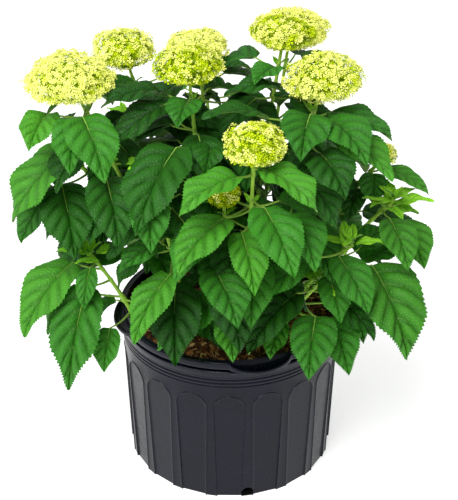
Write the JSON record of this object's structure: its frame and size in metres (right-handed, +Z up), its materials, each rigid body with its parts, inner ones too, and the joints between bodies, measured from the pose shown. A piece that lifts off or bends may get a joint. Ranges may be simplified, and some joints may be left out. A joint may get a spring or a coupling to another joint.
{
  "type": "potted flowering shrub",
  "caption": "Smooth hydrangea shrub with domed lime flower heads over broad toothed leaves, growing in a round ribbed black nursery pot.",
  "frame": {"origin": "middle of the pot's underside, on the surface the pot stands on", "axes": "+Z up; -Y is the front, the side that the picture shows; +X is the viewer's right"},
  "size_m": [0.5328, 0.4853, 0.6238],
  "materials": {
    "pot": "satin",
    "soil": "matte",
    "stem": "matte",
    "foliage": "satin",
    "blossom": "matte"
  },
  "bodies": {
    "root": {"flower-back-left": "blossom", "flower-back-middle": "blossom", "flower-back-right": "blossom", "flower-far-right": "blossom", "flower-front": "blossom", "flower-inner-front": "blossom", "flower-left": "blossom", "flower-middle-back": "blossom", "flower-middle-left": "blossom", "flower-right": "blossom", "flower-top-back": "blossom", "flower-top-right": "blossom", "leaves-back-foot": "foliage", "leaves-back-left": "foliage", "leaves-back-low-left": "foliage", "leaves-back-low-right": "foliage", "leaves-back-middle": "foliage", "leaves-back-right": "foliage", "leaves-far-left": "foliage", "leaves-far-right": "foliage", "leaves-front": "foliage", "leaves-front-left": "foliage", "leaves-inner-front": "foliage", "leaves-left": "foliage", "leaves-low-left": "foliage", "leaves-low-right": "foliage", "leaves-middle-back": "foliage", "leaves-middle-left": "foliage", "leaves-right": "foliage", "leaves-top-back": "foliage", "leaves-top-right": "foliage", "leaves-young-front": "foliage", "leaves-young-right": "foliage", "pot": "pot", "soil": "soil", "stem-back-foot": "stem", "stem-back-left": "stem", "stem-back-low-left": "stem", "stem-back-low-right": "stem", "stem-back-middle": "stem", "stem-back-right": "stem", "stem-far-left": "stem", "stem-far-right": "stem", "stem-front": "stem", "stem-front-left": "stem", "stem-inner-front": "stem", "stem-left": "stem", "stem-low-left": "stem", "stem-low-right": "stem", "stem-middle-back": "stem", "stem-middle-left": "stem", "stem-right": "stem", "stem-top-back": "stem", "stem-top-right": "stem", "stem-young-front": "stem", "stem-young-right": "stem"}
  },
  "joints": []
}
